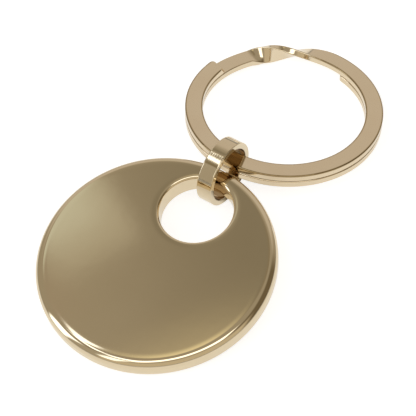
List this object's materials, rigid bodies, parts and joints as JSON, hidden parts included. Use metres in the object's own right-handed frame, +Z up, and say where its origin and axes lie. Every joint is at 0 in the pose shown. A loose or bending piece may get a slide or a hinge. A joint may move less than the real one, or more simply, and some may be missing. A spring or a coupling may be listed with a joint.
{
  "type": "metal keyring",
  "caption": "Keyring with a thick round metal fob, an off-centre hole near its rim, a short band link through the hole and a flat-wire split ring.",
  "frame": {"origin": "bottom centre of the whole keyring as it lies on a table", "axes": "+X from the fob to the split ring, +Z up out of the table"},
  "size_m": [0.066, 0.035, 0.0102],
  "materials": {
    "fob_metal": "polished",
    "link_metal": "polished",
    "ring_metal": "polished"
  },
  "bodies": {
    "fob": {"disc_fob": "fob_metal"},
    "link": {"connecting_link": "link_metal"},
    "ring": {"split_ring": "ring_metal"}
  },
  "joints": [
    {"name": "link_swing", "type": "hinge", "parent": "fob", "child": "link", "pos_m": [0.0005, 0.0005, 0.00509], "axis": [0, 1, 0], "range_deg": [-75, 75]},
    {"name": "ring_swing", "type": "hinge", "parent": "link", "child": "ring", "pos_m": [0.0043, 0.0005, 0.00509], "axis": [0, 1, 0], "range_deg": [-90, 90]}
  ]
}
